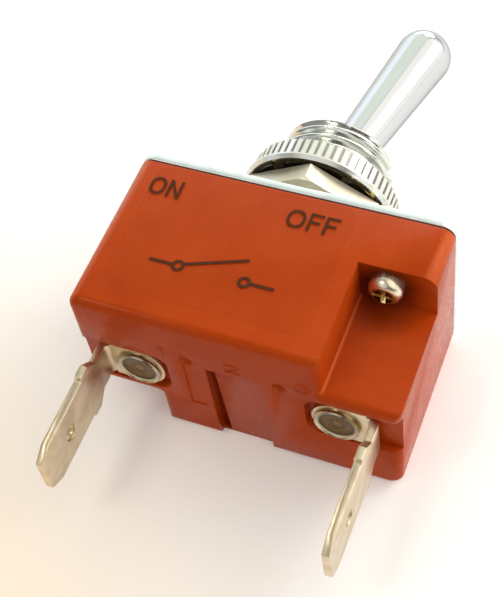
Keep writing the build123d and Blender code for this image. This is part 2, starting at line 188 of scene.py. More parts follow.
def vector_node(tree, operation, *values, give="Vector"):
    """One sum of vectors; give is Value where the answer is a number."""
    node = tree.nodes.new("ShaderNodeVectorMath")
    node.operation = operation
    feed(tree, node.inputs, values)
    return node.outputs[give]


def object_place(tree):
    """Where a point lies on its own object, in metres."""
    return tree.nodes.new("ShaderNodeTexCoord").outputs["Object"]


def axes_of(tree, source):
    """The X, Y and Z of a vector, each on its own."""
    parts = tree.nodes.new("ShaderNodeSeparateXYZ")
    tree.links.new(source, parts.inputs["Vector"])
    return parts.outputs


def step_node(tree, source, start, full, most=1.0, smooth=True):
    """A mask that rises from 0 at start to most at full."""
    step = tree.nodes.new("ShaderNodeMapRange")
    step.interpolation_type = "SMOOTHSTEP" if smooth else "LINEAR"
    step.inputs["From Min"].default_value = start
    step.inputs["From Max"].default_value = full
    step.inputs["To Max"].default_value = most
    tree.links.new(source, step.inputs["Value"])
    return step.outputs["Result"]


def blend_colour(tree, share, first, second):
    """The first colour, turned into the second by this share."""
    mix = tree.nodes.new("ShaderNodeMix")
    mix.data_type = "RGBA"
    feed(tree, (mix.inputs["Factor"], mix.inputs["A"], mix.inputs["B"]), (share, first, second))
    return mix.outputs["Result"]


def lift_surface(tree, shader, height, strength, distance):
    """A bump of so many mm, laid over the bump that the surface already has."""
    bump = tree.nodes.new("ShaderNodeBump")
    bump.inputs["Strength"].default_value = strength
    bump.inputs["Distance"].default_value = distance * mm
    tree.links.new(height, bump.inputs["Height"])
    normal = shader.inputs["Normal"]
    if normal.is_linked:
        tree.links.new(normal.links[0].from_socket, bump.inputs["Normal"])
    tree.links.new(bump.outputs["Normal"], normal)


# %% One recipe for a plain finish
def finish_of(name, light, dark, metal=0.0, rough=(0.2, 0.3), blotch=3.0, grain=0.15,
              lift=0.004, stretch=(1, 1, 1), rim=1.0, split=(0.32, 0.68)):
    """One finish: two colours, a range of roughness and a grain lifted by so many mm."""
    material, tree, shader = new_material(name)
    shader.inputs["Metallic"].default_value = metal
    shader.inputs["Specular Tint"].default_value = (rim, rim, rim, 1)
    patches = noise_node(tree, blotch)
    colour = ramp_node(tree, patches, [(split[0], dark), (split[1], light)])
    tree.links.new(colour, shader.inputs["Base Color"])
    fine = noise_node(tree, grain, 2.0, stretch)
    roughness = range_node(tree, noise_node(tree, blotch / 3, 4.0, stretch), *rough)
    tree.links.new(roughness, shader.inputs["Roughness"])
    lift_surface(tree, shader, fine, 0.5, lift)
    return material


def dress(node, material):
    """Give a node of the frame a better finish in its own material slot."""
    for slot in nodes[node].material_slots:
        slot.material = material
    print("dressed", node, "in", material.name)

# %% [markdown]
# ## Soft edges on the carried-over solids
# Pressed and moulded edges are never razor sharp, and it is the small rounding that catches the
# light. The solids could be rounded by hand, but a stack of modifiers does it without touching
# their points: weld the faces together, join the flat ones, then bevel what is still an edge.

# %% A modifier stack for soft edges
def soften(node, width, angle=40.0, segments=2):
    """Rounds every edge of a node that turns by more than this angle."""
    solid = nodes[node]
    weld = solid.modifiers.new("weld", "WELD")
    weld.merge_threshold = 1e-7
    flat = solid.modifiers.new("flat", "DECIMATE")
    flat.decimate_type = "DISSOLVE"
    flat.angle_limit = math.radians(0.5)
    bevel = solid.modifiers.new("bevel", "BEVEL")
    bevel.width = width * mm
    bevel.segments = segments
    bevel.limit_method = "ANGLE"
    bevel.angle_limit = math.radians(angle)
    bevel.harden_normals = True
    solid.data.shade_smooth()
    print("softened", node, "by", width, "mm")


# %% [markdown]
# ## Moulded phenolic for the case
# The case is pressed from red-brown phenolic powder. Handling has dulled it to a low sheen, with
# a faint waviness and tiny dark specks of filler. A painted shade darkens the corners round the
# cover screws, and a painted highlight makes the upright edges paler. The shade and the highlight
# could be painted by hand. Masks from distances and from the way the surface faces paint them
# here, so they sit where the screws and the edges are, on every side of the case.

# %% Painted shade round the cover screws
case_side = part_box("case")[1].y


def painted_shade_near_screws(tree, reach=5.2, full=1.2, most=0.9):
    """Mask of a painted shade: most close to either cover screw's head, fading to 0 within a few
    mm.
    """
    low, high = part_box("screw_front")
    head = Vector(((low.x + high.x) / 2, (low.y + high.y) / 2, low.z + 0.6 * mm))
    where = object_place(tree)
    away = [vector_node(tree, "DISTANCE", where, centre, give="Value")
            for centre in (head, Vector((-head.x, -head.y, head.z)))]
    share = step_node(tree, sum_node(tree, "MINIMUM", *away), reach * mm, full * mm, most)
    facing = tree.nodes.new("ShaderNodeNewGeometry").outputs["Normal"]
    for source, axis, limit in ((where, "Y", case_side - 0.15 * mm), (facing, "X", 0.5)):
        inside = sum_node(tree, "COMPARE", axes_of(tree, source)[axis], 0, limit)
        share = sum_node(tree, "MULTIPLY", share, inside)
    return share


# %% Painted highlight on the upright edges
def painted_edge_highlight(tree, most=0.5):
    """Mask of a painted highlight: most where a long side turns into an end, 0 on the flats."""
    facing = axes_of(tree, tree.nodes.new("ShaderNodeNewGeometry").outputs["Normal"])
    product = sum_node(tree, "MULTIPLY", facing["X"], facing["Y"])
    return step_node(tree, sum_node(tree, "ABSOLUTE", product), 0.15, 0.45, most)


# %% Phenolic
phenolic, tree, shader = new_material("phenolic_red_brown")
specks = ramp_node(tree, noise_node(tree, 0.16, 1.0), [(0.70, (0, 0, 0, 1)), (0.76, (1, 1, 1, 1))])
colour = ramp_node(tree, noise_node(tree, 5.0, 5.0), [
    (0.30, linear(172, 60, 10)), (0.5, linear(177, 64, 12)), (0.72, linear(181, 68, 15))])
colour = blend_colour(tree, specks, colour, linear(160, 52, 8))
# Painted highlight: the upright edges are lightened to a paler orange.
colour = blend_colour(tree, painted_edge_highlight(tree), colour, linear(216, 104, 52))
# Painted shade: the corners round the cover screws are darkened to near black-brown.
colour = blend_colour(tree, painted_shade_near_screws(tree), colour, linear(52, 12, 4))
tree.links.new(colour, shader.inputs["Base Color"])
tree.links.new(range_node(tree, noise_node(tree, 1.2, 4.0), 0.20, 0.30), shader.inputs["Roughness"])
lift_surface(tree, shader, noise_node(tree, 2.2, 2.0), 0.06, 0.02)
shader.inputs["IOR"].default_value = 1.5
shader.inputs["Specular IOR Level"].default_value = 0.07
shader.inputs["Coat Weight"].default_value = 0.03
shader.inputs["Coat Roughness"].default_value = 0.05
dress("case", phenolic)
soften("case", 0.18, 50)

# %% [markdown]
# ## The metals
# Most of the switch is metal. Nickel on the nuts is warm, zinc on the plate is cooler, tin on
# the blades is soft and yellowish grey, the lock washer is painted near black, a painted shade
# for the gap between the nuts, with lighter golden patches, the lever is polished chrome, and
# the contacts inside are copper and silver. Each could have a tree of its own, but they differ
# only in numbers, so one recipe makes them all. The card under the plate, the one piece here
# that isn't metal, comes from it too.

# %% Finishes of the metals
nut_nickel = finish_of("nickel_on_nut", linear(236, 228, 206), linear(224, 215, 190), 0.75,
                       (0.40, 0.50), 2.5, 0.3, 0.002)
zinc = finish_of("bright_zinc", linear(240, 246, 246), linear(222, 234, 234), 1.0,
                 (0.34, 0.46), 2.0, 0.12, 0.004, (1, 12, 1))
tin = finish_of("tin_on_brass", linear(230, 216, 190), linear(212, 194, 162), 1.0,
                (0.28, 0.42), 1.8, 0.2, 0.002, (3, 3, 1))
screw_nickel = finish_of("screw_nickel", linear(246, 240, 220), linear(226, 216, 190), 1.0,
                         (0.24, 0.34), 0.8, 0.1, 0.002)
spring_steel = finish_of("spring_steel", linear(206, 212, 192), linear(168, 176, 156), 1.0,
                         (0.2, 0.34), 1.0, 0.1, 0.004)
# The washer's near-black tone is a painted shade for the gap between the nuts.
shaded_washer = finish_of("washer_in_painted_shade", linear(196, 164, 104), linear(44, 36, 23), 1.0,
                         (0.24, 0.36), 2.2, 0.2, 0.003, split=(0.52, 0.60))
chrome = finish_of("chrome_plate", linear(216, 219, 222), linear(211, 215, 218), 1.0,
                   (0.09, 0.14), 6.0, 0.6, 0.002, rim=0.55)
copper = finish_of("contact_copper", linear(214, 136, 96), linear(186, 108, 74), 1.0,
                   (0.25, 0.4), 1.5, 0.1, 0.004)
silver = finish_of("contact_silver", linear(232, 230, 222), linear(204, 200, 190), 1.0,
                   (0.2, 0.35), 1.0, 0.1, 0.004)
brass = finish_of("turned_brass", linear(214, 182, 108), linear(186, 154, 88), 1.0,
                  (0.2, 0.32), 1.5, 0.1, 0.004, (1, 1, 10))
card = finish_of("vulcanised_card", linear(52, 44, 40), linear(34, 29, 27), 0.0,
                 (0.5, 0.7), 1.0, 0.1, 0.01)

# %% Dress the metal nodes
dress("cover_plate", zinc)
soften("cover_plate", 0.15)
dress("hex_nut", nut_nickel)
dress("lock_washer", shaded_washer)
dress("plunger_spring", spring_steel)
dress("lever", chrome)
dress("insulating_sheet", card)
dress("plunger", brass)
for node in ("rocker", "fulcrum_bracket", "contact_strip"):
    dress(node, copper)
for node in ("rocker_contact", "fixed_contact"):
    dress(node, silver)
for node in ("terminal_1", "terminal_3"):
    dress(node, tin)
    soften(node, 0.16, 30)

# %% [markdown]
# ## Aged rivets, with painted shade and highlight
# A rivet's head is spun down by a rolling tool, which leaves fine rings round its middle. The
# rings could be cut, but they are a few hundredths deep, so a sine of the distance from the axis
# lifts them. A ramp over the same distance paints the colour: a brown dish, partly patina and
# partly painted shade, dark rings of painted shade, and a painted highlight on the rolled rim.

# %% Rivets
ring_count = 7


def rivet_finish(node):
    """Aged brass, with painted shade and a painted highlight in rings round this rivet's axis."""
    low, high = (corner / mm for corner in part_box(node))
    head_radius = (high.x - low.x) / 2
    material = finish_of(f"brass_patina_and_painted_light_{node}", linear(150, 118, 76), linear(104, 80, 48), 1.0,
                         (0.18, 0.30), 0.9, 0.12, 0.006)
    tree = material.node_tree
    shader = tree.nodes["Principled BSDF"]
    flat = vector_node(tree, "MULTIPLY", object_place(tree), (1, 1, 0))
    axis = Vector(((low.x + high.x) / 2, (low.y + high.y) / 2, 0)) * mm
    away = vector_node(tree, "DISTANCE", flat, axis, give="Value")
    share = sum_node(tree, "DIVIDE", away, head_radius * mm)
    # The ramp paints brown patina, dark rings of painted shade and a painted highlight on the rim.
    patina_shade_and_highlight = ramp_node(tree, share, [
        (0.0, linear(150, 118, 72)), (0.28, linear(80, 58, 32)), (0.52, linear(112, 88, 54)),
        (0.74, linear(58, 46, 30)), (0.86, linear(216, 206, 182)), (1.0, linear(190, 178, 150))])
    base = shader.inputs["Base Color"]
    tree.links.new(blend_colour(tree, 0.85, base.links[0].from_socket, patina_shade_and_highlight), base)
    waves = sum_node(tree, "MULTIPLY", share, 2 * math.pi * ring_count)
    lift_surface(tree, shader, sum_node(tree, "SINE", waves), 0.6, 0.02)
    return material


for node in ("rivet_1", "rivet_3"):
    dress(node, rivet_finish(node))

# %% [markdown]
# ## Painted shade in the knurl
# The flutes of the ring nut read as dark lines, and a painted shade makes them so. It could be
# painted one flute at a time, but a mask by distance from the axis finds their floors by itself:
# whatever lies deeper than the lands, above the plain rim, is mixed towards grey. A darker
# painted shade on the nut's underside, where it faces the washer, is found the same way.

# %% A mask round the axis
def darken_between(material, inner, outer, low, high, colour):
    """Darkens a turned piece from radius outer inwards, between two heights, all in mm."""
    tree = material.node_tree
    base = tree.nodes["Principled BSDF"].inputs["Base Color"]
    where = object_place(tree)
    flat = vector_node(tree, "MULTIPLY", where, (1, 1, 0))
    radius = vector_node(tree, "LENGTH", flat, give="Value")
    share = step_node(tree, radius, outer * mm, inner * mm, smooth=False)
    height = axes_of(tree, where)["Z"]
    for test, limit in (("GREATER_THAN", low), ("LESS_THAN", high)):
        within = sum_node(tree, test, height, limit * mm)
        share = sum_node(tree, "MULTIPLY", share, within)
    tree.links.new(blend_colour(tree, share, base.links[0].from_socket, colour), base)


# %% Knurled nickel
ring_low, ring_high = (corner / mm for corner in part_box("ring_nut"))
flute_floor, land_radius, plain_rim_top = 7.9, 8.15, 5.25
well_above = 20
knurled = finish_of("knurled_nickel", linear(238, 238, 233), linear(220, 220, 213), 0.7,
                    (0.18, 0.28), 2.5, 0.12, 0.003)
# Painted shade: the flute floors are mixed towards grey.
darken_between(knurled, flute_floor, land_radius, plain_rim_top, well_above,
               linear(172, 172, 168))
# Painted shade: the underside inside the plain rim, next to the washer, is darkened brown.
darken_between(knurled, ring_high.x - 1.0, ring_high.x - 0.7, ring_low.z - 1, ring_low.z + 0.06,
               linear(62, 54, 40))
dress("ring_nut", knurled)

# %% [markdown]
# ## The threaded bushing
# The solid bushing is a plain sleeve, since a cut thread would cost it thousands of faces. Here
# the thread is rolled as one skin: a grid of columns round the axis and rows that climb with
# the helix, so that every crest is a row of its own. The keyway's two walls are columns of their
# own, so that they stay crisp, which a boolean cut through a helix would not.

# %% The bushing's finish and measures
thread_radius, thread_pitch, thread_depth = 6.2, 1.13, 0.62
crest_share, flank_share = 0.14, 0.74
entry_chamfer = 0.25
bushing_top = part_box("bushing")[1].z / mm
plate_under, flange_under, flange_radius = -0.8, -2.0, 8.0
bore_radius, bore_step = 4.7, 6.5
mouth_radius, mouth_chamfer = 3.2, 0.2
keyway_half, keyway_depth = 1.1, 0.7
keyway_floor = thread_radius - keyway_depth
threaded_nickel = finish_of("threaded_nickel", linear(240, 241, 236), linear(224, 226, 222), 1.0,
                            (0.12, 0.20), 2.5, 0.12, 0.002)
groove_floor, groove_mouth, lead_in_start = 5.85, 6.12, 11.6
# Painted shade: the thread's groove floors are mixed towards a darker grey.
darken_between(threaded_nickel, groove_floor, groove_mouth, -1.0, lead_in_start,
               linear(206, 209, 199))
print("thread", 2 * thread_radius, "mm across, pitch", thread_pitch, "mm")

# %% The groove's profile
def groove_depth(phase):
    """How deep the groove is, 0 to 1, at this share of a turn: crest, flank, root, flank."""
    valley = 1 - abs(2 * phase - 1)
    return min(1.0, max(0.0, (valley - crest_share) / flank_share))


def thread_point(height, angle):
    """The thread's radius at this height and angle, with its chamfer at the top."""
    phase = (height / thread_pitch - angle / (2 * math.pi)) % 1.0
    radius = thread_radius - thread_depth * groove_depth(phase)
    return min(radius, thread_radius - entry_chamfer + (bushing_top - height))


# %% Skins of points
def skin(rows):
    """A mesh from closed rings of points that all have the same number."""
    mesh = bpy.data.meshes.new("skin")
    count = len(rows[0])
    points = [p for row in rows for p in row]
    faces = []
    for level in range(len(rows) - 1):
        for step in range(count):
            a, b = level * count + step, level * count + (step + 1) % count
            faces.append((a, b, b + count, a + count))
    mesh.from_pydata([Vector(p) * mm for p in points], [], faces)
    return mesh


def clean_mesh(mesh):
    """Joins doubled points and turns every face outwards."""
    tidy = bmesh.new()
    tidy.from_mesh(mesh)
    bmesh.ops.remove_doubles(tidy, verts=tidy.verts, dist=1e-7)
    bmesh.ops.recalc_face_normals(tidy, faces=tidy.faces)
    tidy.to_mesh(mesh)
    tidy.free()
    return mesh


# %% Columns and rings of the bushing
def bushing_columns():
    """Angles round the bushing, with the keyway's walls as doubled columns."""
    edge = math.asin(keyway_half / thread_radius)
    count = 120
    start, end = edge, 2 * math.pi - edge
    return [("wall", edge, 1)] + [
        ("skin", start + (end - start) * (k + 0.5) / count, 0) for k in range(count)
    ] + [("wall", end, -1)]


def thread_ring(turn_share, columns):
    """One line of the thread, climbing a pitch as it goes round, keyway included."""
    ring = []
    for kind, angle, side in columns:
        climb = plate_under + (turn_share + angle / (2 * math.pi)) * thread_pitch
        height = min(max(climb, plate_under), bushing_top)
        radius = thread_point(height, angle)
        if kind == "wall":
            across = keyway_half * side
            out = (math.sqrt(max(radius ** 2 - across ** 2, 0)), across, height)
            floor = (min(keyway_floor, radius - 0.02), across, height)
            ring += [floor, out] if side > 0 else [out, floor]
        else:
            ring.append((radius * math.cos(angle), radius * math.sin(angle), height))
    return ring


def round_ring(height, radius, columns):
    """A plain ring with as many points as the thread's."""
    ring = []
    for kind, angle, side in columns:
        point = (radius * math.cos(angle), radius * math.sin(angle), height)
        ring += [point, point] if kind == "wall" else [point]
    return ring


# %% Roll the thread
columns = bushing_columns()
turn_shares = (0.0, 0.05, 0.08, 0.25, 0.43, 0.46, 0.54, 0.57, 0.75, 0.92, 0.95)
first_share = (plate_under / thread_pitch) % 1.0
turns = int((bushing_top - plate_under) / thread_pitch) + 3
outside = [(flange_under, bore_radius), (flange_under, flange_radius),
           (plate_under, flange_radius)]
ball_seat = [(10.66, mouth_radius), (9.9, 3.45), (9.2, 3.52), (bore_step, 3.52)]
inside = [(bushing_top, mouth_radius + mouth_chamfer), (bushing_top - mouth_chamfer, mouth_radius),
          *ball_seat, (bore_step, bore_radius), (flange_under, bore_radius)]
rows = [round_ring(height, radius, columns) for height, radius in outside]
rows += [thread_ring(k + share - first_share, columns) for k in range(-1, turns)
         for share in turn_shares]
rows += [round_ring(height, radius, columns) for height, radius in inside]
mesh = clean_mesh(skin(rows))
bushing = bpy.data.objects.new("threaded_bushing", mesh)
scene.collection.objects.link(bushing)
mesh.materials.append(threaded_nickel)
mesh.shade_smooth()
mesh.set_sharp_from_angle(angle=math.radians(35))
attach(bushing, "switch_body")
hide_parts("bushing")
print("threaded_bushing", len(mesh.polygons), "faces")

# %% [markdown]
# ## The printing on the clear film
# The label is a clear film over the front, printed in dark brown. Letters could be a font, but
# these few are simpler and nearer as outlines: each is a closed curve, filled and given the
# thickness of ink. The state words stay; below them a generic contact symbol joins 1 to 3.

# %% Ink
ink = finish_of("dark_ink", linear(88, 46, 25), linear(74, 39, 21), 0.0, (0.45, 0.6), 0.6, 0.08,
                0.002)
ink.node_tree.nodes["Principled BSDF"].inputs["Specular IOR Level"].default_value = 0.1

# %% Clear film and its cut edge
def film_of(name, dark, light, blotch, rough, alpha):
    """A nearly clear film, tinted by the case that shows through it."""
    material, tree, shader = new_material(name)
    tint = ramp_node(tree, noise_node(tree, blotch[0]), [(0.3, dark), (0.7, light)])
    tree.links.new(tint, shader.inputs["Base Color"])
    tree.links.new(range_node(tree, noise_node(tree, blotch[1]), *rough),
                   shader.inputs["Roughness"])
    shader.inputs["Alpha"].default_value = alpha
    return material, tree, shader


film_clear, tree, shader = film_of("clear_film", linear(178, 68, 20), linear(186, 74, 26),
                                   (4.0, 1.5), (0.16, 0.24), 0.06)
lift_surface(tree, shader, noise_node(tree, 3.0, 2.0), 0.2, 0.01)
shader.inputs["Specular IOR Level"].default_value = 0.15
# The rim is a little lighter than the film: a painted highlight along its cut edge.
film_edge_glint = film_of("film_cut_edge", linear(190, 84, 36), linear(198, 92, 44),
                    (2.0, 1.0), (0.2, 0.3), 0.05)[0]

# %% The film's outline
def rounded(low, high, radius, count=8):
    """A rounded rectangle's outline (x, z) between two corners, anticlockwise."""
    outline = []
    for corner, (u, v) in enumerate(((1, 0), (1, 1), (0, 1), (0, 0))):
        cx = high[0] - radius if u else low[0] + radius
        cz = high[1] - radius if v else low[1] + radius
        for k in range(count + 1):
            angle = math.radians(-90 + 90 * corner + 90 * k / count)
            outline.append((cx + radius * math.cos(angle), cz + radius * math.sin(angle)))
    return outline


# %% Cut the film as one thin sheet
film_depth, film_corner = 0.07, 1.4
film_low, film_high = (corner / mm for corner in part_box("label_film"))
film_front = film_low.y + 0.01
outline = rounded((film_low.x, film_low.z), (film_high.x, film_high.z), film_corner)
count = len(outline)
points = [(x, film_front + depth, z) for depth in (0, film_depth) for x, z in outline]
film_mesh = bpy.data.meshes.new("clear_label")
film_mesh.from_pydata([Vector(p) * mm for p in points], [], [tuple(range(count))] + [
    (k, k + count, (k + 1) % count + count, (k + 1) % count) for k in range(count)])
film = bpy.data.objects.new("clear_label", film_mesh)
scene.collection.objects.link(film)
film_mesh.materials.append(film_clear)
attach(film, "switch_body")
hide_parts("label_film")
print("film front at y", round(film_front, 3))

# %% The film's cut edge, as a thin rim
rim_radius, rim_back = 0.035, 0.02
rim_curve = bpy.data.curves.new("label_rim", "CURVE")
rim_curve.dimensions = "3D"
rim_curve.bevel_depth = rim_radius * mm
rim_curve.bevel_resolution = 1
spline = rim_curve.splines.new("POLY")
spline.points.add(count - 1)
for target, (x, z) in zip(spline.points, outline):
    target.co = (x * mm, (film_front + rim_back) * mm, z * mm, 1)
spline.use_cyclic_u = True
rim = bpy.data.objects.new("label_rim", rim_curve)
scene.collection.objects.link(rim)
rim_curve.materials.append(film_edge_glint)
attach(rim, "switch_body")
print("rim of", count, "points")

# %% Outlines of the letters
def glyph(splines, name, corner, size, front, depth=0.02):
    """Closed outlines in a unit cell, placed at corner (x, z), size (wide, high) in mm."""
    curve = bpy.data.curves.new(name, "CURVE")
    curve.dimensions = "2D"
    curve.fill_mode = "BOTH"
    curve.extrude = depth / 2 * mm
    for points in splines:
        spline = curve.splines.new("POLY")
        spline.points.add(len(points) - 1)
        for target, (u, v) in zip(spline.points, points):
            target.co = (u * size[0] * mm, v * size[1] * mm, 0, 1)
        spline.use_cyclic_u = True
    letter = bpy.data.objects.new(name, curve)
    scene.collection.objects.link(letter)
    letter.matrix_world = Matrix.Translation(
        Vector((corner[0], front + depth / 2, corner[1])) * mm) @ Matrix.Rotation(
        math.pi / 2, 4, "X")
    letter.data.materials.append(ink)
    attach(letter, "switch_body")
    return letter


def oval(wide, high, inset, power=2.3, count=40):
    """A squared oval in the unit cell, drawn in by so many mm of stroke."""
    points = []
    for k in range(count):
        angle = 2 * math.pi * k / count
        c, s = math.cos(angle), math.sin(angle)
        reach_u, reach_v = 0.5 - inset / wide, 0.5 - inset / high
        points.append((0.5 + reach_u * math.copysign(abs(c) ** (2 / power), c),
                       0.5 + reach_v * math.copysign(abs(s) ** (2 / power), s)))
    return points


def letter_o(wide, high, stroke):
    """An oval and the same one drawn in by the stroke, which leaves a ring."""
    return [oval(wide, high, 0), oval(wide, high, stroke)]


def letter_n(wide, high, stroke):
    """Two posts and a slanting bar, in one outline."""
    u = stroke / wide
    d = u * 1.25
    return [[(0, 0), (u, 0), (u, 1 - d), (1 - u, 0), (1, 0), (1, 1), (1 - u, 1),
             (1 - u, d), (u, 1), (0, 1)]]


def letter_f(wide, high, stroke):
    """A post with two arms, the middle one a little shorter."""
    u, v = stroke / wide, stroke / high
    return [[(0, 0), (u, 0), (u, 0.5 - v / 2), (0.86, 0.5 - v / 2), (0.86, 0.5 + v / 2),
             (u, 0.5 + v / 2), (u, 1 - v), (1, 1 - v), (1, 1), (0, 1)]]


# %% Print the state words
ink_face = film_front - 0.02
letter_high, stroke = 2.15, 0.28
on_low, off_low = -4.93, -5.0
letters = (("ON_letter_1", letter_o, -14.02, on_low, 1.66),
           ("ON_letter_2", letter_n, -12.08, on_low, 1.42),
           ("OFF_letter_1", letter_o, 0.6, off_low, 1.86),
           ("OFF_letter_2", letter_f, 2.78, off_low, 1.36),
           ("OFF_letter_3", letter_f, 4.42, off_low, 1.36))
for name, shape, left, low, wide in letters:
    glyph(shape(wide, letter_high, stroke), name, (left, low), (wide, letter_high), ink_face)
print(len(letters), "letters,", letter_high, "mm high, stroke", stroke, "mm")

# %% A generic contact symbol in the label's lower half
def bar(name, start, end, width):
    """A straight ink line between two points (x, z)."""
    (x0, z0), (x1, z1) = start, end
    length = math.hypot(x1 - x0, z1 - z0)
    nx, nz = -(z1 - z0) / length * width / 2, (x1 - x0) / length * width / 2
    return glyph([[(x0 + nx, z0 + nz), (x0 - nx, z0 - nz), (x1 - nx, z1 - nz),
                   (x1 + nx, z1 + nz)]], name, (0, 0), (1, 1), ink_face)


symbol_z, ring_wide, ring_stroke, line_wide = -12.4, 1.3, 0.3, 0.32
for order, x in ((1, -7.4), (3, -0.6)):
    ring = [oval(ring_wide, ring_wide, inset, 2.0) for inset in (0, ring_stroke)]
    glyph(ring, f"symbol_ring_{order}", (x - ring_wide / 2, symbol_z - ring_wide / 2),
          (ring_wide, ring_wide), ink_face)
lines = (("symbol_lead_1", (-10.4, symbol_z), (-8.05, symbol_z)),
         ("symbol_lead_3", (0.05, symbol_z), (2.4, symbol_z)),
         ("symbol_arm", (-6.85, symbol_z + 0.32), (-1.0, symbol_z + 2.5)))
for name, start, end in lines:
    bar(name, start, end, line_wide)
print("contact symbol: two rings and", len(lines), "lines")

# %% [markdown]
# ## The cover screws
# Two pan-head screws hold the plate, each deep in its notch. A pan head is turned, so its domed
# outline is spun round the axis. The cross is pressed in by a tapered punch: its walls could be
# built face by face, but a boolean with a tapered cross cuts them in one stroke, and the cutter
# is thrown away. The flat of the head is painted dark brown, a painted reflection of the dark
# notch round it, and the recess is painted golden, a painted glint of lamplight.

# %% The screw's outline and punch
head_radius, flat_radius, shank_radius = 1.75, 0.80, 0.95
shoulder, hair = 0.5, 0.001


def screw_outline(bottom, ceiling, top):
    """Half the screw's outline (radius, height), from the head's flat up to the shank's end."""
    crown = ceiling - shoulder
    dome = [(flat_radius + (head_radius - flat_radius) * math.sin(math.radians(t)),
             crown - (crown - bottom) * math.cos(math.radians(t))) for t in range(0, 91, 9)]
    return [(hair, bottom)] + dome + [
        (head_radius, ceiling), (shank_radius, ceiling), (shank_radius, top), (hair, top)]


def spun(outline, count=64):
    """A mesh of an outline (radius, height) spun round the upright axis."""
    rows = [[(r * math.cos(2 * math.pi * k / count), r * math.sin(2 * math.pi * k / count), z)
             for k in range(count)] for r, z in outline]
    return clean_mesh(skin(rows))


def cross_cutter(low, high, half_long=1.15, half_wide=0.26, taper=0.52):
    """A cross-shaped punch that narrows as it goes in."""
    a, b = half_long, half_wide
    plan = [(a, -b), (a, b), (b, b), (b, a), (-b, a), (-b, b), (-a, b), (-a, -b), (-b, -b),
            (-b, -a), (b, -a), (b, -b)]
    points = [(u * k, v * k, z)
              for k, z in ((1.0, low), (taper, high)) for u, v in plan]
    count = len(plan)
    mesh = bpy.data.meshes.new("punch")
    mesh.from_pydata([Vector(p) * mm for p in points], [], [
        tuple(range(count)), tuple(range(count, 2 * count))] + [
        (k, (k + 1) % count, (k + 1) % count + count, k + count) for k in range(count)])
    return clean_mesh(mesh)


# %% Domed screw heads
head_height, flat_play = 1.5, 0.03
flat_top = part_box("screw_front")[0].z / mm + 0.09
# Painted reflection: the flat of the head is darkened brown, as the dark notch round it.
darken_between(screw_nickel, 0.9, 1.35, flat_top - 0.09, flat_top, linear(88, 60, 38))
# Painted highlight: the cross recess is painted golden, a glint of lamplight in it.
darken_between(screw_nickel, 1.1, 1.2, flat_top, flat_top + 0.91, linear(226, 204, 146))
for node in ("screw_front", "screw_rear"):
    low, high = (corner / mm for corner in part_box(node))
    piece = bpy.data.objects.new(f"pan_head_{node}", spun(screw_outline(
        low.z + flat_play, low.z + head_height, high.z)))
    punch = bpy.data.objects.new("punch", cross_cutter(low.z - 0.1, low.z + 0.85))
    scene.collection.objects.link(piece)
    scene.collection.objects.link(punch)
    cut = piece.modifiers.new("cross", "BOOLEAN")
    cut.operation = "DIFFERENCE"
    cut.object = punch
    carved = bpy.data.meshes.new_from_object(
        piece.evaluated_get(bpy.context.evaluated_depsgraph_get()))
    piece.modifiers.clear()
    piece.data = carved
    bpy.data.objects.remove(punch)
    carved.materials.clear()
    carved.materials.append(screw_nickel)
    carved.shade_smooth()
    carved.set_sharp_from_angle(angle=math.radians(35))
    piece.matrix_world = Matrix.Translation((low + high) / 2 * mm * Vector((1, 1, 0)))
    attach(piece, "switch_body")
    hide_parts(node)
    print(piece.name, len(carved.polygons), "faces")

# %% [markdown]
# ## The coil spring in the lever's tail
# A coil spring pushes the plunger out of the tail. It is wound from drawn wire, so a round
# section is carried along a helix; a curve with a bevel would do the same, but a mesh can be
# pressed flatter. This one is wound along the plunger's own axis and rides with the lever.

# %% Measure the spring
motions = {row["name"]: row for row in frame["record"]["behaviour"]["joints"]}
push = Vector(motions["plunger_slide"]["axis"]).normalized()
swing_centre = Vector(motions["lever_tilt"]["pos_m"])
across = Vector((0, 1, 0))
aside = across.cross(push)
reaches = [v.co - swing_centre for v in nodes["plunger_spring"].data.vertices]
spring_low = min(point.dot(push) for point in reaches) / mm
spring_high = max(point.dot(push) for point in reaches) / mm
spring_outer = max((point - push * point.dot(push)).length for point in reaches) / mm
spring_length = spring_high - spring_low

# %% Wind the spring
wire_radius, coil_turns, turn_steps, wire_sides = 0.18, 5, 36, 12
coil_radius = spring_outer - wire_radius
last_step = coil_turns * turn_steps
coil_rows = []
for step in range(last_step + 1):
    angle = 2 * math.pi * step / turn_steps
    height = spring_low + wire_radius + step / last_step * (spring_length - 2 * wire_radius)
    outward = aside * math.cos(angle) + across * math.sin(angle)
    thick = wire_radius if 0 < step < last_step else 0.0
    middle = swing_centre / mm + push * height + outward * coil_radius
    coil_rows.append([middle + (outward * math.cos(turn) + push * math.sin(turn)) * thick
                      for turn in (2 * math.pi * k / wire_sides for k in range(wire_sides))])
coil = bpy.data.objects.new("coil_spring", clean_mesh(skin(coil_rows)))
scene.collection.objects.link(coil)
coil.data.materials.append(spring_steel)
coil.data.shade_smooth()
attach(coil, "lever")
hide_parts("plunger_spring")
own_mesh(coil)
print("coil_spring", len(coil.data.polygons), "faces")

# %% [markdown]
# ## Raised place numbers under the case
# The mould leaves small raised figures 1, 2 and 3 beside the terminals' places. Text objects
# would bring a font's thick and thin lines, while these are strokes of constant width, so each
# is a path with a round bevel, half sunk in the case.

# %% A raised figure
figure_level, figure_stroke = -18.99, 0.1


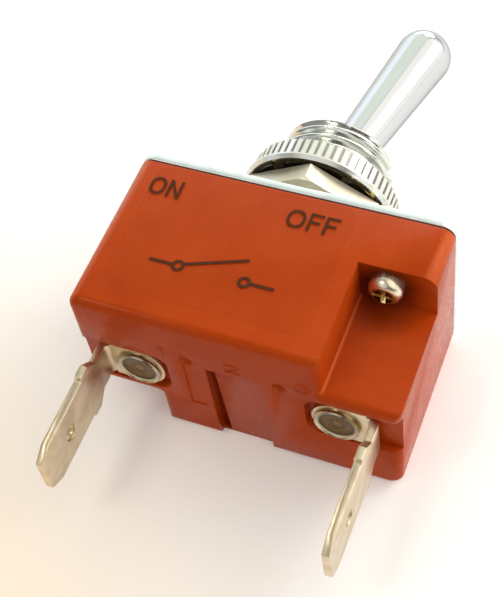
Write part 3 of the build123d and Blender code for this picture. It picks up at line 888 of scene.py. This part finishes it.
def figure(name, path, centre, size):
    """A round-backed path in a unit cell, laid under the case round this centre (x, y)."""
    curve = bpy.data.curves.new(name, "CURVE")
    curve.dimensions = "3D"
    curve.bevel_depth = figure_stroke * mm
    curve.bevel_resolution = 2
    curve.use_fill_caps = True
    spline = curve.splines.new("POLY")
    spline.points.add(len(path) - 1)
    for target, (u, v) in zip(spline.points, path):
        target.co = ((centre[0] + (u - 0.5) * size[0]) * mm,
                     (centre[1] - (v - 0.5) * size[1]) * mm, 0, 1)
    piece = bpy.data.objects.new(name, curve)
    piece.location.z = figure_level * mm
    scene.collection.objects.link(piece)
    curve.materials.append(phenolic)
    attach(piece, "switch_body")


def arc(cu, cv, ru, rv, start, end, count=9):
    """Points on an oval's arc between two angles in degrees."""
    angles = [math.radians(start + (end - start) * k / (count - 1)) for k in range(count)]
    return [(cu + ru * math.cos(a), cv + rv * math.sin(a)) for a in angles]


# %% The three figures
figure_size = (1.75, 1.3)
one = [(0.32, 0.78), (0.52, 1.0), (0.52, 0.0)]
two = arc(0.5, 0.72, 0.42, 0.28, 170, -20) + [(0.08, 0.0), (0.94, 0.0)]
three = arc(0.46, 0.75, 0.4, 0.25, 160, -80) + arc(0.46, 0.26, 0.46, 0.26, 80, -160)
for name, path, place in (("figure_1", one, (-7.2, -4.4)), ("figure_2", two, (0.1, -4.65)),
                          ("figure_3", three, (7.2, -4.6))):
    figure(name, path, place, figure_size)
    print(name, "of", len(path), "points")

# %% [markdown]
# ## The sheet of paper
# The switch lies on white paper, so the stage is one large sheet just behind its back face. A
# box or a curved backdrop would do, but one flat sheet casts the plainest shadow. Its colour is
# painted warmer towards the lower left, a painted warm light as if lamplight fell there. It is
# clear from behind, for views from the back, and has a hole right behind the case, hidden by it,
# so that light reaches the case's back face. The hole leaves out the rear notch, where the sheet
# shows.

# %% Cut the sheet
sheet_gap, sheet_half = 0.05, 900.0
hole_inset, notch_long, notch_high, low_rim = 0.5, 7.7, 12.0, 1.3
paper_y = cad_high.y / mm + sheet_gap
case_low, case_high = (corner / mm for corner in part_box("case"))
cuts_x = [-sheet_half, case_low.x + hole_inset, case_low.x + notch_long + hole_inset,
          case_high.x - hole_inset, sheet_half]
cuts_z = [-sheet_half, case_low.z + low_rim, case_low.z + notch_high + hole_inset,
          case_high.z - hole_inset, sheet_half]
hole = {(2, 1), (1, 2), (2, 2)}
wide = len(cuts_x)
corners = [row * wide + col for row in range(wide - 1) for col in range(wide - 1)
           if (col, row) not in hole]
paper_mesh = bpy.data.meshes.new("paper")
paper_mesh.from_pydata([Vector((x, paper_y, z)) * mm for z in cuts_z for x in cuts_x], [], [
    (first, first + 1, first + wide + 1, first + wide) for first in corners])
paper = bpy.data.objects.new("paper", paper_mesh)
scene.collection.objects.link(paper)
print("paper at y", round(paper_y, 2), "mm, in", len(corners), "faces round the hole")

# %% White paper
paper_material, tree, shader = new_material("white_paper")
shader.inputs["Roughness"].default_value = 0.8
fibre = ramp_node(tree, noise_node(tree, 40.0), [(0.3, linear(248, 247, 246)),
                                                 (0.7, linear(252, 252, 251))])
# Painted warm light: the paper's colour turns warmer towards the lower left.
lower_left = Vector((-0.55, 0, -0.83))
slope = vector_node(tree, "DOT_PRODUCT", object_place(tree), lower_left, give="Value")
painted_lamp_warmth = blend_colour(tree, step_node(tree, slope, 0.012, 0.060), fibre, linear(243, 222, 196))
tree.links.new(painted_lamp_warmth, shader.inputs["Base Color"])

# %% A faint glow for the camera and for reflections
glow_strength = 0.14
seen = tree.nodes.new("ShaderNodeLightPath").outputs
glow = tree.nodes.new("ShaderNodeEmission")
tree.links.new(painted_lamp_warmth, glow.inputs["Color"])
either = sum_node(tree, "MAXIMUM", seen["Is Camera Ray"], seen["Is Glossy Ray"])
tree.links.new(sum_node(tree, "MULTIPLY", either, glow_strength), glow.inputs["Strength"])
both = tree.nodes.new("ShaderNodeAddShader")
feed(tree, both.inputs, (shader.outputs["BSDF"], glow.outputs["Emission"]))

# %% Clear from behind
side = tree.nodes.new("ShaderNodeMixShader")
behind = tree.nodes.new("ShaderNodeNewGeometry").outputs["Backfacing"]
clear = tree.nodes.new("ShaderNodeBsdfTransparent").outputs["BSDF"]
feed(tree, side.inputs, (behind, both.outputs["Shader"], clear))
tree.links.new(side.outputs["Shader"], tree.nodes["Material Output"].inputs["Surface"])
paper_mesh.materials.append(paper_material)

# %% [markdown]
# ## Lamps
# The light is soft and plain: a window on the right, a box overhead, a box behind the sheet for
# the views from the back, and a small warm lamp low on the left. Bare points or a sun would give
# hard shadows and pinprick highlights. Large area lamps give the metal broad bright shapes.

# %% Hang the lamps
def soft_box(name, place, size, power, tint):
    """A rectangular lamp at this place in metres, turned towards the switch."""
    lamp_data = bpy.data.lights.new(name, "AREA")
    lamp_data.shape = "RECTANGLE"
    lamp_data.size, lamp_data.size_y = size
    lamp_data.energy = power
    lamp_data.color = tint
    lamp = bpy.data.objects.new(name, lamp_data)
    lamp.location = place
    lamp.rotation_euler = (-Vector(place)).to_track_quat("-Z", "Y").to_euler()
    scene.collection.objects.link(lamp)
    print("lamp", name, power, "W")


soft_box("window", (0.46, -0.38, 0.40), (0.36, 0.36), 1.25, (1.0, 0.985, 0.96))
soft_box("top_box", (-0.10, -0.10, 0.66), (0.5, 0.2), 2.0, (0.96, 0.98, 1.0))
soft_box("back_box", (-0.10, 0.60, 0.20), (0.4, 0.4), 2.4, (1.0, 0.99, 0.97))
soft_box("warm_lamp", (-0.26, -0.60, -0.27), (0.18, 0.18), 0.7, (1.0, 0.93, 0.82))

# %% [markdown]
# ## The sky
# Polished metal shows whatever stands round it, and under an even sky it turns to grey putty. A
# studio hangs white cards and dark flags; image panoramas do it in software. Here each
# card is a soft patch in the world, found by direction, so it stays where it is while the
# camera moves. The camera itself sees plain white.

# %% A patch of the sky
def lobe(tree, toward, start, full, upright=1.0):
    """1 near this direction and 0 away from it; upright below 1 makes the patch tall."""
    direction = tree.nodes.new("ShaderNodeTexCoord").outputs["Generated"]
    squeezed = vector_node(tree, "MULTIPLY", direction, (1, 1, upright))
    even = vector_node(tree, "NORMALIZE", squeezed)
    near = vector_node(tree, "DOT_PRODUCT", even, Vector(toward).normalized(), give="Value")
    return step_node(tree, near, start, full)


# %% Hang the patches
patches = (("flag low on the left", (-0.70, -0.52, -0.48), 0.80, 0.92, 1.0, (0.34, 0.34, 0.32)),
           ("card high on the left", (-0.68, -0.18, 0.71), 0.86, 0.96, 1.0, (1.56, 1.64, 1.70)),
           ("card over the thread", (-0.295, -0.695, 0.656), 0.90, 0.95, 1.0, (1.22, 1.28, 1.10)),
           ("tall card on the right", (0.71, -0.68, 0.18), 0.70, 0.77, 0.75, (1.56, 1.49, 1.38)),
           ("card under the blades", (-0.20, -0.52, -0.83), 0.90, 0.95, 1.0, (0.92, 0.93, 0.89)))
world = bpy.data.worlds.new("pale_room")
scene.world = world
world.use_nodes = True
tree = world.node_tree
room = blend_colour(tree, lobe(tree, (0, 0, 1), -0.6, 0.9), (0.07, 0.06, 0.05, 1),
                    (0.80, 0.81, 0.83, 1))
for name, toward, start, full, upright, colour in patches:
    room = blend_colour(tree, lobe(tree, toward, start, full, upright), room, (*colour, 1))
    print("sky:", name)

# %% White for the camera, the room for the rest
sky = tree.nodes["Background"]
tree.links.new(room, sky.inputs["Color"])
sky.inputs["Strength"].default_value = 0.85
plain = tree.nodes.new("ShaderNodeBackground")
plain.inputs["Color"].default_value = (1, 1, 1, 1)
plain.inputs["Strength"].default_value = 1.0
choose = tree.nodes.new("ShaderNodeMixShader")
feed(tree, choose.inputs, (tree.nodes.new("ShaderNodeLightPath").outputs["Is Camera Ray"],
                           sky.outputs["Background"], plain.outputs["Background"]))
tree.links.new(choose.outputs["Shader"], tree.nodes["World Output"].inputs["Surface"])
print("stage: one sheet of paper, four lamps, one sky of", len(patches), "patches")
